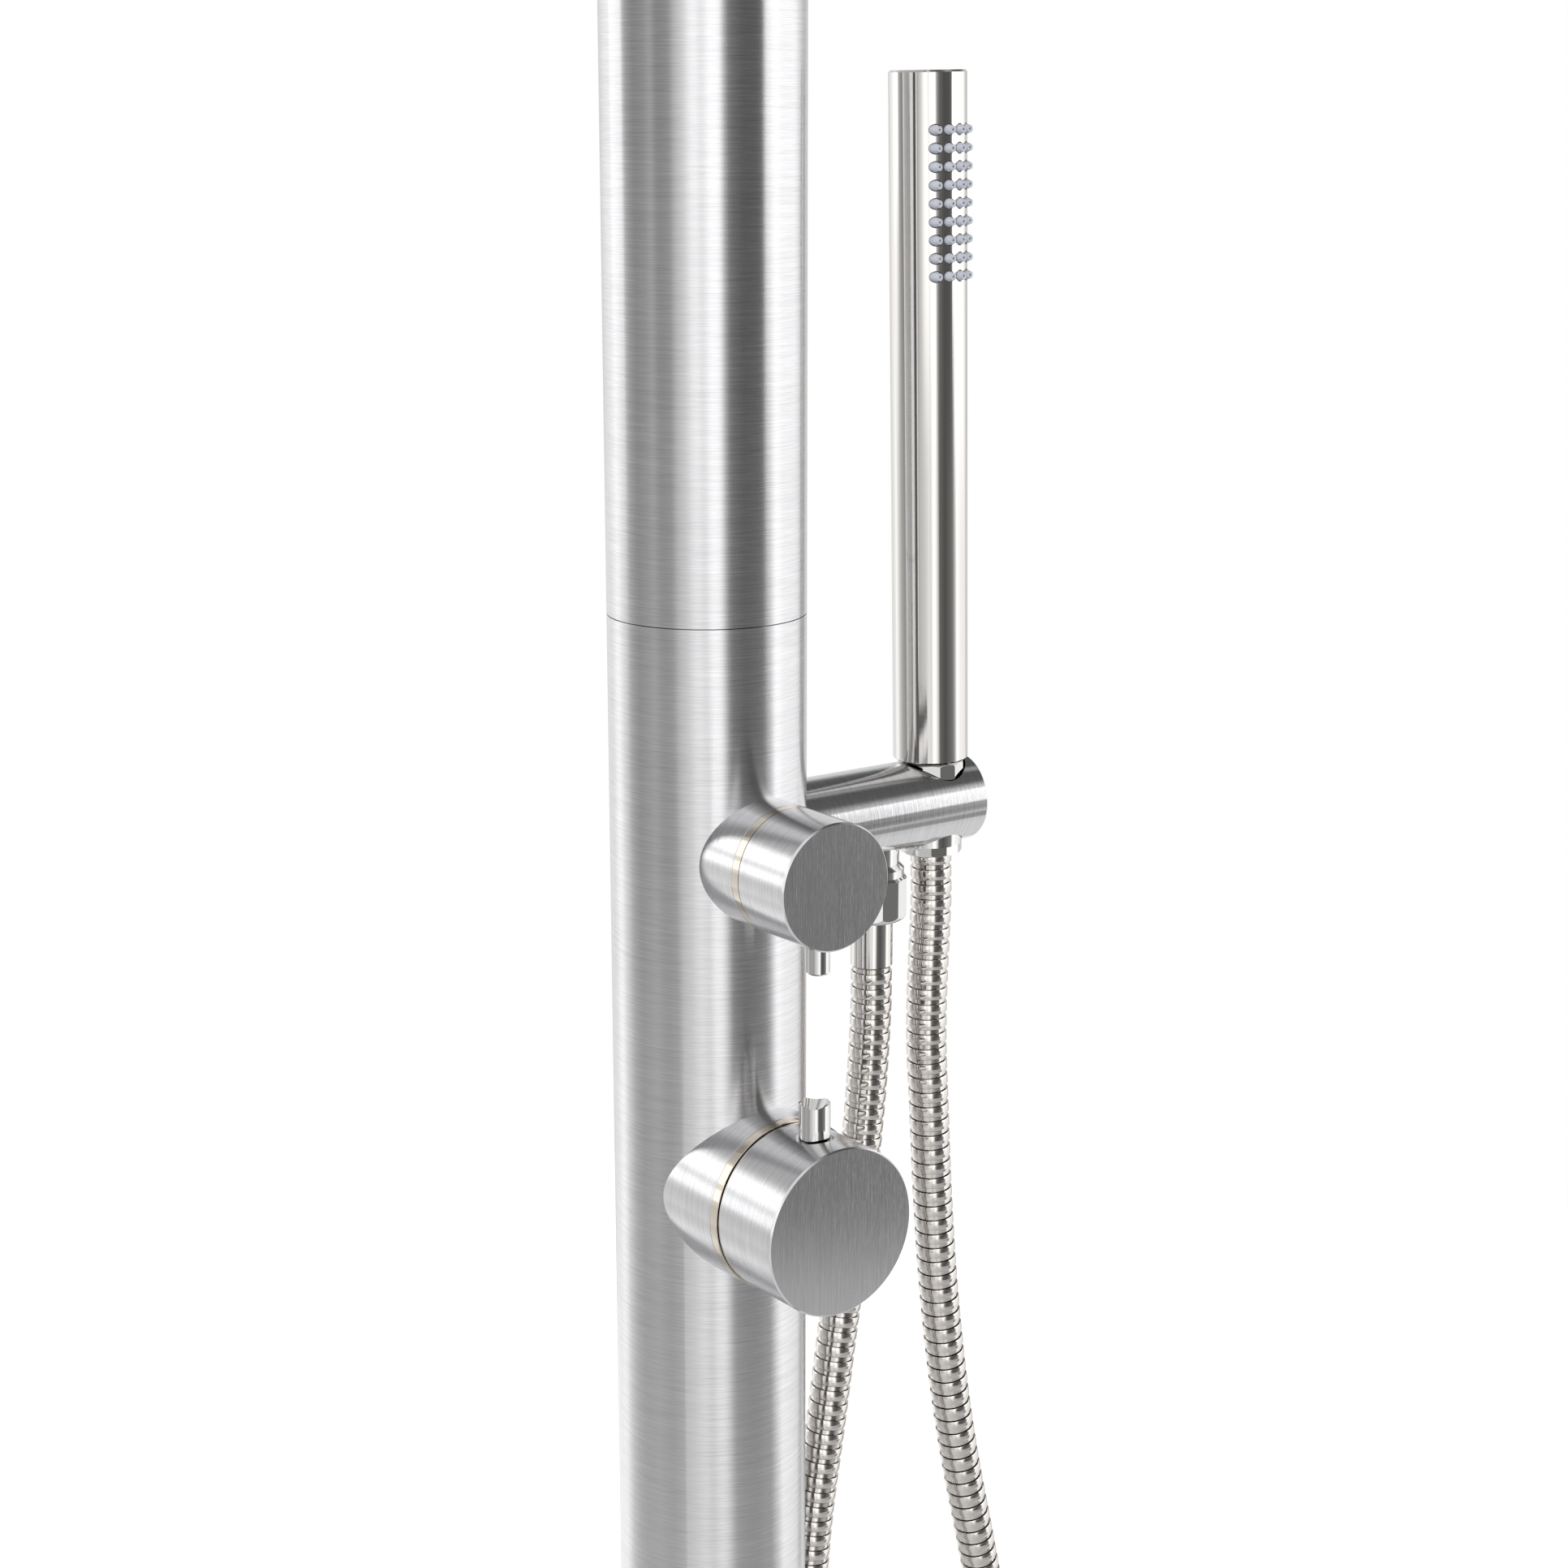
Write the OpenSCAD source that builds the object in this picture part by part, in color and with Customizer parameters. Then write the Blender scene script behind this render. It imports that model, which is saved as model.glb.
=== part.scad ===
/* [Post] */
// Outer diameter of the lower and the upper column
post_d = 60; // [60:1:66]
// Wall of both columns
post_wall = 2; // [1:0.5:2]
// Height of the cap's top above the ground
post_top = 2150; // [2120:10:2300]
// Height of the joint between the two columns
joint_z = 1171; // [1171:1:1400]
// Length of the sleeve inside that joint
sleeve_len = 90; // [60:2:90]
// Wall of that sleeve
sleeve_wall = 3; // [2:0.5:4]
// Thickness of the top cap's plate
cap_t = 3; // [2:0.5:5]
// Depth of the cap's plug in the column
cap_plug = 14; // [8:1:20]

/* [Base] */
// Diameter of the floor plate
base_d = 230; // [220:5:300]
// Thickness of the floor plate
base_t = 10; // [8:1:16]
// Pitch circle of the four floor bolts
base_pcd = 180; // [150:5:190]
// Diameter of each floor bolt's hole
base_hole_d = 12; // [9:1:14]
// Opening in the plate for the supply hoses
base_open_d = 52; // [50:1:54]
// Outer diameter of the collar that clamps the post
collar_d = 74; // [74:1:90]
// Height of that collar above the plate
collar_h = 40; // [32:1:60]
// Diameter of the collar's and the sleeve's grub screws
grub_d = 6; // [5:1:8]

/* [Mixer] */
// Height of the mixer's axis
mixer_z = 995; // [960:1:995]
// Diameter of the mixer's boss
mixer_boss_d = 53.6; // [53:0.2:56]
// Reach of the boss in front of the post's axis
mixer_boss_reach = 38.3; // [38:0.1:42]
// Diameter of the mixer's knob
mixer_knob_d = 52.2; // [50:0.1:54]
// Length of the knob
mixer_knob_len = 25.9; // [24:0.1:30]
// Diameter of the pin on the mixer's knob
mixer_pin_d = 9.5; // [8:0.5:11]
// Length of that pin outside the knob
mixer_pin_out = 11.1; // [8:0.1:20]
// Bore for the mixer's ceramic cartridge
mixer_bore_d = 35; // [33:0.5:36]
// Diameter of the mixer's spindle
mixer_spindle_d = 10; // [8:0.5:11]

/* [Diverter] */
// Height of the diverter's and the holder arm's axis
diverter_z = 1100; // [1095:1:1100]
// Diameter of the diverter's boss
diverter_boss_d = 38.4; // [38:0.2:42]
// Reach of the boss in front of the post's axis
diverter_boss_reach = 39.4; // [36:0.1:42]
// Diameter of the diverter's knob
diverter_knob_d = 38.4; // [37:0.1:40]
// Length of the knob
diverter_knob_len = 21.6; // [20:0.1:28]
// Diameter of the pin under the diverter's knob
diverter_pin_d = 7; // [6:0.5:8]
// Length of that pin outside the knob
diverter_pin_out = 8.6; // [8:0.1:16]
// Bore for the diverter's cartridge
diverter_bore_d = 25; // [22:0.5:26]
// Diameter of the diverter's spindle
diverter_spindle_d = 8; // [6:0.5:8]

/* [Holder arm] */
// Diameter of the arm that feeds the hose and holds the handset
arm_d = 28.2; // [27:0.1:30]
// Length of the arm from the post's axis
arm_len = 99.7; // [99:0.1:110]
// Place of the handset's hole along the arm
hole_x = 87.2; // [86:0.1:88]
// Place of the hose outlet along the arm
outlet_x = 63.5; // [60:0.5:63.5]
// Lean of the handset towards the post, in degrees
lean = 1.2; // [0:0.1:2]
// Diameter of the hole at its upper end
hole_top_d = 22.6; // [22.6:0.1:23.2]
// Diameter of the hole at its lower end
hole_low_d = 20.6; // [20.6:0.1:21.2]

/* [Hose] */
// Outer diameter of the metal hose
hose_d = 13.4; // [12:0.2:14]
// Bore of the hose
hose_bore = 8; // [6:0.5:8]
// Diameter of the ferrules at both ends
ferrule_d = 13.6; // [13:0.1:14]
// Thread diameter of the outlet and its union nut
union_thread_d = 20.4; // [20:0.1:20.6]
// Width of the twelve-sided union nut across its corners
union_d = 22.6; // [22.4:0.1:24]

/* [Handset] */
// Diameter of the handset
handset_d = 24; // [24:0.1:26]
// Thread diameter of the handset's foot and its cone nut
handset_thread_d = 18.4; // [18:0.1:18.6]
// Wall of the handset's tube
handset_wall = 1.2; // [1:0.1:1.4]
// Length of the handset with its cap
handset_len = 214.2; // [180:0.1:240]
// Thickness of the handset's cap
handset_cap_t = 3; // [2:0.5:5]
// Rows of nozzles
spray_rows = 9; // [3:1:9]
// Distance between two rows
spray_pitch = 5.45; // [5:0.05:6]
// Distance from the handset's top to the first row
spray_top = 17.5; // [12:0.5:30]
// Length of a nozzle outside the tube
spray_out = 1.8; // [1.5:0.1:4]
// Turn of the spray away from the front, in degrees
spray_turn = 4; // [-20:1:20]

/* [Overhead shower] */
// Height of the overhead arm's axis
over_z = 2080; // [2050:5:2080]
// Reach of the overhead arm in front of the post's axis
over_reach = 350; // [250:5:380]
// Outer diameter of the overhead arm
over_d = 25; // [24:0.5:26]
// Wall of the overhead arm
over_wall = 2; // [1.5:0.5:2]
// Radius of the arm's bend at its middle line
over_bend = 40; // [35:1:60]
// Straight end below the bend
over_drop = 30; // [26:1:50]
// Diameter of the head's ball
ball_d = 22; // [22:0.5:24]
// Diameter of the shower head
head_d = 200; // [180:5:250]
// Height of the head's rim
head_rim = 9; // [8:0.5:14]
// Nozzle rings of the head
head_rings = 4; // [2:1:4]

/* [Hidden] */
$fn = 96;
steel = "#c3c6c9";
polished = "#d8dadc";
brass = "#b5954a";
rubber = "#2b2b2d";
silicone = "#8f96a6";
plastic = "#e4e2dc";
// Overrun of every cut past the face that it opens
over = 1;
// Radial gap of pieces that are fixed in each other
slip = 0.05;
// Radial gap of turning pieces in their bores
run = 0.05;
// Gap between pieces that move past each other
clear = 0.3;
post_r = post_d / 2;
post_in = post_r - post_wall;
// Inner pieces: the valve bodies stay this far inside the column's wall
body_gap = 1.2;
body_r = post_in - body_gap;
pipe_y = 4;
supply_x = 13;
supply_d = 12;
supply_wall = 1.5;
riser_d = 14;
riser_wall = 1.5;
socket_depth = 12;
inlet_lift = 4;
inlet_z = base_t + inlet_lift;
inlet_h = 26;
inlet_d = 24.6;
inlet_bore_d = 19;
inlet_bore_h = 14;
collar_edge = 1.5;
collar_screw_z = base_t + collar_h / 2;
collar_screws_n = 3;
grub_len = 6;
hex_share = 0.55;
hex_depth_share = 0.5;
screw_offset = sleeve_len / 4;
sleeve_in = post_in - slip - sleeve_wall;
base_edge = 1.5;
seam_gap = 0.3;
column_end = post_top - cap_t;
// Mixer and diverter
mixer_bore_z = 12;
neck_drop = 3;
neck_gap = 0.4;
mixer_neck_z = mixer_boss_reach - neck_drop;
mixer_boss_wall = 3.5;
mixer_wall_d = mixer_boss_d - 2 * mixer_boss_wall;
mixer_neck_d = mixer_wall_d - 2 * neck_gap;
mixer_block_h = 64;
nut_gap = 0.1;
mixer_nut_h = 4.5;
mixer_nut_room = 4;
mixer_nut_hole_d = mixer_spindle_d + 2 * mixer_nut_room;
ring_h = 3.2;
mixer_ring_drop = 0.2;
knob_gap = 0.4;
knob_edge = 0.5;
mixer_knob_wall = 4.1;
mixer_cavity_d = mixer_knob_d - 2 * mixer_knob_wall;
mixer_cavity_h = 18;
mixer_hub_d = 18;
mixer_hub_gap = 2;
mixer_pin_place = 12.6;
recess_margin = 1.1;
recess_d = mixer_pin_d + 2 * recess_margin;
recess_h = 1.4;
shank_share = 0.6;
notch_d = 12;
notch_h = 1.1;
notch_turn = -40;
port_d = 8;
diverter_bore_z = 12;
diverter_neck_z = diverter_boss_reach - neck_drop;
diverter_boss_wall = 2.6;
diverter_wall_d = diverter_boss_d - 2 * diverter_boss_wall;
diverter_neck_d = diverter_wall_d - 2 * neck_gap;
diverter_block_h = 40;
diverter_nut_h = 4;
diverter_nut_room = 3;
diverter_nut_hole_d = diverter_spindle_d + 2 * diverter_nut_room;
diverter_ring_drop = 0.2;
diverter_knob_wall = 3.6;
diverter_cavity_d = diverter_knob_d - 2 * diverter_knob_wall;
diverter_cavity_h = 17;
diverter_hub_d = 15;
diverter_hub_gap = 2;
diverter_pin_place = 13;
cartridge_foot = 8;
// Holder arm and the outlet's stack, measured down from the arm's axis
arm_z = diverter_z;
arm_r = arm_d / 2;
arm_edge = 0.6;
spigot_d = 16;
spigot_in = 14;
feed_d = 9;
nipple_d = 17.2;
nipple_seat = sqrt(arm_r * arm_r - nipple_d * nipple_d / 4);
nipple_stud_d = 13;
nipple_stud = 6;
nipple_bore = 8;
nipple_neck = 4.1;
nipple_flare = 1.6;
nipple_thread = 9.8;
nipple_neck_low = arm_r + nipple_neck;
nipple_low = nipple_neck_low + nipple_thread;
washer_h = 2;
washer_bore = 10;
face_gap = 0.1;
flange_h = 1.8;
union_drop = 6.4;
union_h = 15;
union_top = arm_r + union_drop;
union_shoulder = nipple_low + washer_h + flange_h + 3 * face_gap;
union_low = union_top + union_h;
union_edge = 1.2;
union_round = 3;
union_turn = 10;
nut_sides = 12;
ferrule_out = 15.5;
ferrule_edge = 0.5;
ferrule_low = union_low + ferrule_out;
// Cone nut and what it holds, measured up along the handset's own axis from the arm's axis
cone_proud = 0.1;
cone_top = arm_r + cone_proud;
cone_rim = 1.5;
nut_collar_h = 7;
cone_short = 0.6;
cone_low = cone_short - arm_r;
nut_collar_low = cone_top - nut_collar_h;
cone_low_d = hole_low_d - 2 * clear;
cone_top_d = cone_low_d + (hole_top_d - hole_low_d) * (nut_collar_low - cone_low) / arm_d;
nut_foot = 3.2;
nut_edge = 1;
nut_turn = 8;
nut_low = cone_low - nut_foot;
joint_floor = -4;
// Handset
handset_foot = cone_top + clear;
handset_top = handset_foot + handset_len;
connector_in = 18;
connector_low = joint_floor + flange_h + washer_h + 2 * face_gap;
handset_in = handset_d - 2 * handset_wall;
foot_edge = 0.6;
nub_base_d = 3;
nub_tip_d = 2.2;
nub_hole_d = 0.8;
nub_gap = 0.3;
mat_back = 4.6;
mat_end = 5;
cap_dome = 0.6;
// Overhead arm and head, measured from the ball's middle
over_in = over_d - 2 * over_wall;
over_start = 22;
elbow_d = 22;
elbow_low = 22;
elbow_high = 15;
elbow_wall = 3;
arm_collar_d = 40;
arm_collar_reach = 38;
bend_end_z = over_z - over_bend - over_drop;
ball_stem_d = 12.5;
ball_bore = 7;
ball_flange_d = 25;
ball_flange_h = 3;
ball_flange_z = 13;
ball_z = bend_end_z - ball_flange_z - ball_flange_h;
ball_plug = 18;
ball_nut_d = 32;
ball_nut_top = 7;
ball_nut_low = -14;
ball_nut_bore_d = 26;
seal_top = -3;
seal_low = -7;
head_neck_low = -24;
head_neck_bore = 12;
head_neck_flange_d = 44;
head_dome_h = 7;
head_wall = 1.5;
head_r = head_d / 2;
head_bottom = head_neck_low - head_dome_h - head_rim;
gasket_h = 1.5;
gasket_w = 5;
plate_t = 1.5;
mat_t = 2;
head_nub_d = 4;
head_nub_tip_d = 3;
head_nub_out = 2;
head_nub_hole = 1;
head_ring_first = 8;
head_ring_step = 6;
head_ring_share = 0.2;
drop_front = over_reach - over_bend;

// The hose's route from the outlet's ferrule down and up again to the cone nut
HOSE_ROUTE = [
    [63.5, 0, 1049], [63.5, 0, 1042], [63.4, 0, 1034], [62.3, 0, 1015], [60.5, 0, 995],
    [56.5, 0, 962], [51, 0, 929], [46, 0, 895], [41, 0, 863], [38.4, 0, 835], [37.8, 1, 795],
    [37.7, 3, 735], [37.6, 5, 675], [37.5, 7, 615], [37.3, 8.6, 555], [36.8, 9.6, 503],
    [36.5, 10, 456], [36.4, 10, 427], [36.4, 10, 411], [38.4, 10, 395.9], [44.2, 10, 381.9],
    [53.4, 10, 369.8], [65.5, 10, 360.6], [79.5, 10, 354.8], [94.6, 10, 352.8], [109.7, 10, 354.8],
    [123.7, 10, 360.6], [135.8, 10, 369.8], [145, 10, 381.9], [150.8, 10, 395.9], [152.8, 10, 411],
    [152.8, 10, 427], [152.8, 9.6, 456], [152.6, 8.8, 503], [151.3, 7.5, 555], [147.8, 6, 615],
    [141, 4.2, 675], [132, 2, 735], [121, 1, 790], [111.5, 0, 830], [103.5, 0, 865], [97.5, 0, 898],
    [93, 0, 932], [90, 0, 965], [87.8, 0, 1000], [86.7, 0, 1018], [86.7, 0, 1036], [87.4, 0, 1054],
    [87.89, 0, 1067], [87.72, 0, 1075.25], [87.55, 0, 1083.25]
];
hose_sides = 12;
hose_last = len(HOSE_ROUTE) - 1;

function unit(v) = v / norm(v);
function heading(i) = unit(HOSE_ROUTE[min(i + 1, hose_last)] - HOSE_ROUTE[max(i - 1, 0)]);
function ring_at(i, r) = let(t = heading(i), u = unit(cross([0, 1, 0], t)), v = cross(t, u))
    [for (j = [0 : hose_sides - 1]) HOSE_ROUTE[i] + r * (u * cos(360 * j / hose_sides)
        + v * sin(360 * j / hose_sides))];
function ring_wall(first, count, turn) = [for (i = [0 : count - 2]) for (j = [0 : hose_sides - 1])
    let(a = first + i * hose_sides + j, b = first + i * hose_sides + (j + 1) % hose_sides,
        c = a + hose_sides, d = b + hose_sides)
    each (turn ? [[a, b, c], [b, d, c]] : [[a, c, b], [b, c, d]])];
function end_wall(o, n, turn) = [for (j = [0 : hose_sides - 1])
    let(k = (j + 1) % hose_sides)
    each (turn ? [[o + j, n + j, o + k], [o + k, n + j, n + k]]
        : [[o + j, o + k, n + j], [o + k, n + k, n + j]])];

// Frames: the axis of a front piece runs to the front, that of a side piece to the side
module along_front(z) {
    translate([0, 0, z]) rotate([90, 0, 0]) children();
}
module along_side(z) {
    translate([0, 0, z]) rotate([0, 90, 0]) children();
}
module handset_place() {
    translate([hole_x, 0, arm_z]) rotate([0, -lean, 0]) children();
}
module outlet_place() {
    translate([outlet_x, 0, arm_z]) mirror([0, 0, 1]) children();
}
module ball_place() {
    translate([0, -over_reach, ball_z]) children();
}
// A rod or a ring between two heights
module rod(d, low, high) {
    translate([0, 0, low]) cylinder(d = d, h = high - low);
}
module ring(d, hole, low, high) {
    difference() {
        rod(d, low, high);
        rod(hole, low - over, high + over);
    }
}
// A rod with a chamfer at its far end
module edged_rod(d, low, high, edge) {
    rod(d, low, high - edge);
    translate([0, 0, high - edge]) cylinder(d1 = d, d2 = d - 2 * edge, h = edge);
}
// A rod with a round edge at its far end
module round_rod(d, low, high, edge) {
    rod(d, low, high - edge);
    translate([0, 0, high - edge]) rotate_extrude() intersection() {
        square([d / 2, edge]);
        union() {
            square([d / 2 - edge, edge]);
            translate([d / 2 - edge, 0]) circle(r = edge);
        }
    }
}
// A rod with flat sides and a round edge at its far end
module nut_rod(d, turn, low, high, edge) {
    intersection() {
        rotate([0, 0, turn]) translate([0, 0, low])
            cylinder(d = d, h = high - low + over, $fn = nut_sides);
        round_rod(d + 2 * slip, low - over, high, edge);
    }
}
// A grub screw along +Z whose socket lies at its far end
module grub(d, low, high) {
    difference() {
        rod(d, low, high);
        translate([0, 0, high - d * hex_depth_share])
            cylinder(d = d * hex_share, h = d * hex_depth_share + over, $fn = 6);
    }
}

module base_plate() {
    color(steel) difference() {
        edged_rod(base_d, 0, base_t, base_edge);
        rod(base_open_d, -over, base_t + over);
        for (a = [45 : 90 : 315]) rotate([0, 0, a]) translate([base_pcd / 2, 0, 0])
            rod(base_hole_d, -over, base_t + over);
    }
}
module collar_screw_places() {
    for (k = [0 : collar_screws_n - 1]) rotate([0, 0, 90 + 360 * k / collar_screws_n])
        translate([0, 0, collar_screw_z]) rotate([0, 90, 0]) children();
}
module base_collar() {
    color(steel) difference() {
        edged_rod(collar_d, base_t, base_t + collar_h, collar_edge);
        rod(post_d + 2 * slip, base_t - over, base_t + collar_h + over);
        collar_screw_places() rod(grub_d + 2 * slip, 0, collar_d);
    }
}
module collar_screws() {
    color(polished) collar_screw_places()
        grub(grub_d, post_r + 2 * slip, post_r + grub_len);
}
module lower_column() {
    color(steel) difference() {
        ring(post_d, 2 * post_in, base_t, joint_z);
        along_front(mixer_z) rod(mixer_wall_d, 0, post_d);
        along_front(diverter_z) rod(diverter_wall_d, 0, post_d);
        along_side(arm_z) rod(spigot_d + 2 * slip, 0, post_d);
        sleeve_screw_place(-screw_offset) rod(grub_d + 2 * slip, 0, post_d);
    }
}
module upper_column() {
    color(steel) difference() {
        ring(post_d, 2 * post_in, joint_z + seam_gap, column_end);
        along_front(over_z) rod(over_d + 2 * slip, 0, post_d);
        sleeve_screw_place(screw_offset) rod(grub_d + 2 * slip, 0, post_d);
    }
}
module sleeve_screw_place(dz) {
    translate([0, 0, joint_z + dz]) rotate([-90, 0, 0]) children();
}
module column_sleeve() {
    color(steel) difference() {
        ring(2 * (post_in - slip), 2 * sleeve_in, joint_z - sleeve_len / 2, joint_z + sleeve_len / 2);
        for (s = [-1, 1]) sleeve_screw_place(s * screw_offset) rod(grub_d + 2 * slip, 0, post_d);
    }
}
module sleeve_screws() {
    color(polished) for (s = [-1, 1]) sleeve_screw_place(s * screw_offset)
        grub(grub_d, sleeve_in, post_r);
}
module column_cap() {
    color(steel) difference() {
        union() {
            edged_rod(post_d, column_end, post_top, cap_t / 3);
            rod(2 * (post_in - slip), column_end - cap_plug, column_end + cap_t / 2);
        }
        rod(2 * (post_in - slip - post_wall), column_end - cap_plug - over, column_end);
    }
}

// A boss is a short tube on the column, cut to its round wall
module boss(z, d, hole, reach) {
    color(steel) difference() {
        along_front(z) ring(d, hole, 0, reach);
        rod(post_d, z - d, z + d);
    }
}
// A valve's body: a round block in the column and a neck to the front
module valve_body(z, block_h, neck_d, neck_z, bore_d, bore_z) {
    difference() {
        union() {
            rod(2 * body_r, z - block_h / 2, z + block_h / 2);
            along_front(z) rod(neck_d, 0, neck_z);
        }
        along_front(z) rod(bore_d, bore_z, neck_z + over);
        children();
    }
}
module port_bore(x, z, low, high) {
    translate([x, pipe_y, 0]) rod(port_d, low, high);
    translate([x, pipe_y, z]) rotate([90, 0, 0]) rod(port_d, 0, pipe_y + mixer_bore_z + over);
}
module cartridge(bore_d, bore_z, neck_z, spindle_d) {
    difference() {
        rod(bore_d - 2 * slip, bore_z + slip, neck_z);
        rod(spindle_d + 2 * run, bore_z + cartridge_foot, neck_z + over);
    }
}
// A knob: a cup with a hub on the spindle and a hole for its pin
module knob(d, low, length, cavity_d, cavity_h, hub_d, hub_gap, spindle_d, pin_d, pin_place, side) {
    difference() {
        union() {
            difference() {
                edged_rod(d, low, low + length, knob_edge);
                rod(cavity_d, low - over, low + cavity_h);
            }
            rod(hub_d, low + hub_gap, low + cavity_h + over);
        }
        rod(spindle_d + 2 * slip, low, low + cavity_h);
        translate([0, 0, low + pin_place]) rotate([-90 * side, 0, 0]) rod(pin_d + 2 * slip, 0, d);
    }
}

mixer_knob_low = mixer_boss_reach + ring_h + knob_gap;
diverter_knob_low = diverter_boss_reach + ring_h + knob_gap;
module mixer_boss() {
    boss(mixer_z, mixer_boss_d, mixer_wall_d, mixer_boss_reach);
}
module mixer_body() {
    low = mixer_z - mixer_block_h / 2;
    high = mixer_z + mixer_block_h / 2;
    color(brass) valve_body(mixer_z, mixer_block_h, mixer_neck_d, mixer_neck_z, mixer_bore_d, mixer_bore_z) {
        for (s = [-1, 1]) {
            port_bore(s * supply_x, mixer_z, low, mixer_z);
            translate([s * supply_x, pipe_y, 0]) rod(supply_d + 2 * slip, low - over, low + socket_depth);
        }
        port_bore(0, mixer_z, mixer_z, high);
        translate([0, pipe_y, 0]) rod(riser_d + 2 * slip, high - socket_depth, high + over);
    }
}
module mixer_cartridge() {
    color(plastic) along_front(mixer_z)
        cartridge(mixer_bore_d, mixer_bore_z, mixer_neck_z, mixer_spindle_d);
}
module mixer_spindle() {
    color(brass) along_front(mixer_z)
        rod(mixer_spindle_d, mixer_bore_z + cartridge_foot + clear, mixer_knob_low + mixer_cavity_h);
}
module mixer_nut() {
    color(brass) along_front(mixer_z)
        ring(mixer_neck_d, mixer_nut_hole_d, mixer_neck_z + nut_gap, mixer_neck_z + nut_gap + mixer_nut_h);
}
module mixer_ring() {
    color(polished) along_front(mixer_z) ring(mixer_boss_d - mixer_ring_drop, mixer_wall_d,
        mixer_boss_reach, mixer_boss_reach + ring_h);
}
module mixer_knob() {
    color(steel) along_front(mixer_z) difference() {
        knob(mixer_knob_d, mixer_knob_low, mixer_knob_len, mixer_cavity_d, mixer_cavity_h, mixer_hub_d,
            mixer_hub_gap, mixer_spindle_d, mixer_pin_d * shank_share, mixer_pin_place, 1);
        translate([0, mixer_knob_d / 2 - recess_h, mixer_knob_low + mixer_pin_place])
            rotate([-90, 0, 0]) cylinder(d = recess_d, h = recess_h + over);
    }
}
module mixer_pin() {
    foot = mixer_knob_d / 2 - recess_h;
    top = mixer_knob_d / 2 + mixer_pin_out;
    color(polished) along_front(mixer_z) translate([0, 0, mixer_knob_low + mixer_pin_place])
        rotate([-90, 0, 0]) difference() {
            union() {
                rod(mixer_pin_d * shank_share, mixer_spindle_d / 2 + slip, foot + over);
                edged_rod(mixer_pin_d, foot, top, knob_edge);
            }
            translate([0, 0, top + notch_d / 2 - notch_h]) rotate([90, 0, notch_turn])
                rod(notch_d, -mixer_pin_d, mixer_pin_d);
        }
}
module diverter_boss() {
    boss(diverter_z, diverter_boss_d, diverter_wall_d, diverter_boss_reach);
}
module diverter_body() {
    low = diverter_z - diverter_block_h / 2;
    high = diverter_z + diverter_block_h / 2;
    color(brass) valve_body(diverter_z, diverter_block_h, diverter_neck_d, diverter_neck_z,
        diverter_bore_d, diverter_bore_z) {
        port_bore(0, diverter_z, low, high);
        for (z = [low - over, high - socket_depth]) translate([0, pipe_y, 0])
            rod(riser_d + 2 * slip, z, z + socket_depth + over);
        along_side(arm_z) rod(spigot_d + 2 * slip, spigot_in, post_r);
        along_side(arm_z) rod(port_d, 0, spigot_in + over);
    }
}
module diverter_cartridge() {
    color(plastic) along_front(diverter_z)
        cartridge(diverter_bore_d, diverter_bore_z, diverter_neck_z, diverter_spindle_d);
}
module diverter_spindle() {
    color(brass) along_front(diverter_z) rod(diverter_spindle_d,
        diverter_bore_z + cartridge_foot + clear, diverter_knob_low + diverter_cavity_h);
}
module diverter_nut() {
    color(brass) along_front(diverter_z) ring(diverter_neck_d, diverter_nut_hole_d,
        diverter_neck_z + nut_gap, diverter_neck_z + nut_gap + diverter_nut_h);
}
module diverter_ring() {
    color(polished) along_front(diverter_z) ring(diverter_boss_d - diverter_ring_drop,
        diverter_wall_d, diverter_boss_reach, diverter_boss_reach + ring_h);
}
module diverter_knob() {
    color(steel) along_front(diverter_z) knob(diverter_knob_d, diverter_knob_low, diverter_knob_len,
        diverter_cavity_d, diverter_cavity_h, diverter_hub_d, diverter_hub_gap, diverter_spindle_d,
        diverter_pin_d * shank_share, diverter_pin_place, -1);
}
module diverter_pin() {
    color(polished) along_front(diverter_z) translate([0, 0, diverter_knob_low + diverter_pin_place])
        rotate([90, 0, 0]) {
            rod(diverter_pin_d * shank_share, diverter_spindle_d / 2 + slip, diverter_knob_d / 2 + over);
            edged_rod(diverter_pin_d, diverter_knob_d / 2 + slip, diverter_knob_d / 2 + diverter_pin_out,
                knob_edge);
        }
}

// Supply: an inlet with its pipe for cold and for hot water, and the pipes between the valves
module inlet(x) {
    color(brass) translate([x, pipe_y, inlet_z]) difference() {
        rod(inlet_d, 0, inlet_h);
        rod(inlet_bore_d, -over, inlet_bore_h);
        rod(supply_d - 2 * supply_wall, 0, inlet_h);
        rod(supply_d + 2 * slip, inlet_h - socket_depth / 2, inlet_h + over);
    }
}
module supply_pipe(x) {
    color(polished) translate([x, pipe_y, 0]) ring(supply_d, supply_d - 2 * supply_wall,
        inlet_z + inlet_h - socket_depth / 2, mixer_z - mixer_block_h / 2 + socket_depth);
}
module water_pipe(low, high) {
    color(polished) translate([0, pipe_y, 0]) ring(riser_d, riser_d - 2 * riser_wall, low, high);
}
module cold_inlet() {
    inlet(supply_x);
}
module hot_inlet() {
    inlet(-supply_x);
}
module cold_pipe() {
    supply_pipe(supply_x);
}
module hot_pipe() {
    supply_pipe(-supply_x);
}
module link_pipe() {
    water_pipe(mixer_z + mixer_block_h / 2 - socket_depth, diverter_z - diverter_block_h / 2 + socket_depth);
}
module riser_pipe() {
    water_pipe(diverter_z + diverter_block_h / 2 - socket_depth, over_z - elbow_low + socket_depth);
}
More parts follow.
